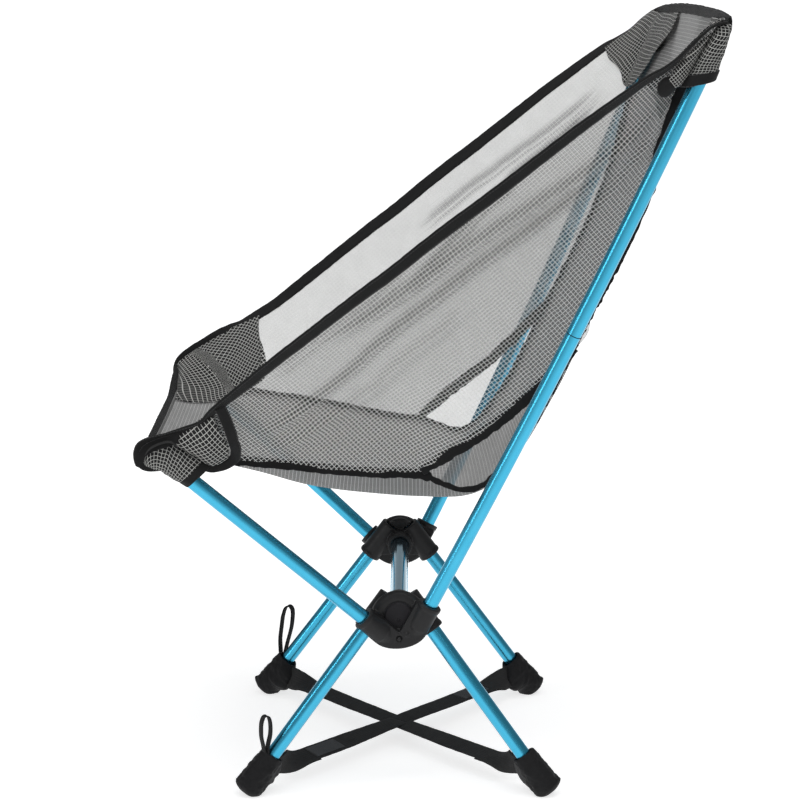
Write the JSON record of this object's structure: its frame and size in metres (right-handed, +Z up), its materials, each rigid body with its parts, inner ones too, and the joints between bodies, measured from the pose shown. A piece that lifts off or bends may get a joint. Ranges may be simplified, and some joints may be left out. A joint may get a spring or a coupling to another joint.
{
  "type": "ultralight backpacking chair",
  "caption": "Low folding chair: a sheer ripstop bucket seat slung on bowed aluminium poles in moulded hubs, on splayed legs tied by crossed webbing.",
  "frame": {"origin": "on the floor, under the centre of the part's box", "axes": "+Z up, -Y the way the sitter faces, +X the sitter's left"},
  "size_m": [0.524, 0.468, 0.6441],
  "materials": {
    "anodised_tube": "satin cyan-blue anodising over drawn tube",
    "bare_aluminium": "mill finish, hidden inside the rear poles",
    "hub_nylon": "satin black glass-filled nylon moulding",
    "tip_nylon": "smooth black nylon end cap",
    "foot_rubber": "matt black moulded rubber",
    "black_fabric": "black ripstop with a pale grid, two layers",
    "ripstop": "sheer grey ripstop mesh with a pale square grid",
    "binding_tape": "woven black polyester tape, stitched",
    "webbing": "black woven webbing",
    "shock_cord": "black braided elastic cord, inside the tubes"
  },
  "bodies": {
    "frame": {"crossbar": "anodised_tube", "front_pole_cord_left": "shock_cord", "front_pole_cord_right": "shock_cord", "front_pole_left": "anodised_tube", "front_pole_right": "anodised_tube", "front_pole_tip_left": "tip_nylon", "front_pole_tip_right": "tip_nylon", "hub_body_left": "hub_nylon", "hub_body_right": "hub_nylon", "hub_cap_left": "hub_nylon", "hub_cap_right": "hub_nylon", "hub_pin_left": "hub_nylon", "hub_pin_right": "hub_nylon", "rear_ferrule_left": "bare_aluminium", "rear_ferrule_right": "bare_aluminium", "rear_pole_cord_left": "shock_cord", "rear_pole_cord_right": "shock_cord", "rear_pole_lower_left": "anodised_tube", "rear_pole_lower_right": "anodised_tube", "rear_pole_tip_left": "tip_nylon", "rear_pole_tip_right": "tip_nylon", "rear_pole_upper_left": "anodised_tube", "rear_pole_upper_right": "anodised_tube", "strap_lower": "webbing", "strap_upper": "webbing"},
    "seat": {"front_hem": "binding_tape", "front_pocket_left": "black_fabric", "front_pocket_right": "black_fabric", "seam_tape_left": "binding_tape", "seam_tape_right": "binding_tape", "seat_centre_panel": "ripstop", "seat_side_panel_left": "ripstop", "seat_side_panel_right": "ripstop", "top_binding_left": "binding_tape", "top_binding_right": "binding_tape", "top_hem": "binding_tape", "top_pocket_left": "black_fabric", "top_pocket_right": "black_fabric", "vent_tape_left": "binding_tape", "vent_tape_right": "binding_tape"},
    "front_leg_left": {"front_boot_left": "black_fabric", "front_foot_left": "foot_rubber", "front_leg_cord_left": "shock_cord", "front_leg_left": "anodised_tube", "pull_loop_left": "webbing"},
    "front_leg_right": {"front_boot_right": "black_fabric", "front_foot_right": "foot_rubber", "front_leg_cord_right": "shock_cord", "front_leg_right": "anodised_tube", "pull_loop_right": "webbing"},
    "rear_leg_left": {"rear_boot_left": "black_fabric", "rear_foot_left": "foot_rubber", "rear_leg_cord_left": "shock_cord", "rear_leg_left": "anodised_tube"},
    "rear_leg_right": {"rear_boot_right": "black_fabric", "rear_foot_right": "foot_rubber", "rear_leg_cord_right": "shock_cord", "rear_leg_right": "anodised_tube"}
  },
  "joints": [
    {"name": "seat_lift_off", "type": "slide", "parent": "frame", "child": "seat", "axis": [0, 0, 1], "range_m": [0, 0.42]},
    {"name": "front_leg_left_pull_out", "type": "slide", "parent": "frame", "child": "front_leg_left", "axis": [0.1097, -0.5914, -0.7989], "range_m": [0, 0.036], "stiffness_N_per_m": 150, "springref_m": -0.03},
    {"name": "front_leg_right_pull_out", "type": "slide", "parent": "frame", "child": "front_leg_right", "axis": [-0.1097, -0.5914, -0.7989], "range_m": [0, 0.036], "stiffness_N_per_m": 150, "springref_m": -0.03},
    {"name": "rear_leg_left_pull_out", "type": "slide", "parent": "frame", "child": "rear_leg_left", "axis": [0.1048, 0.5862, -0.8033], "range_m": [0, 0.036], "stiffness_N_per_m": 150, "springref_m": -0.03},
    {"name": "rear_leg_right_pull_out", "type": "slide", "parent": "frame", "child": "rear_leg_right", "axis": [-0.1048, 0.5862, -0.8033], "range_m": [0, 0.036], "stiffness_N_per_m": 150, "springref_m": -0.03}
  ]
}
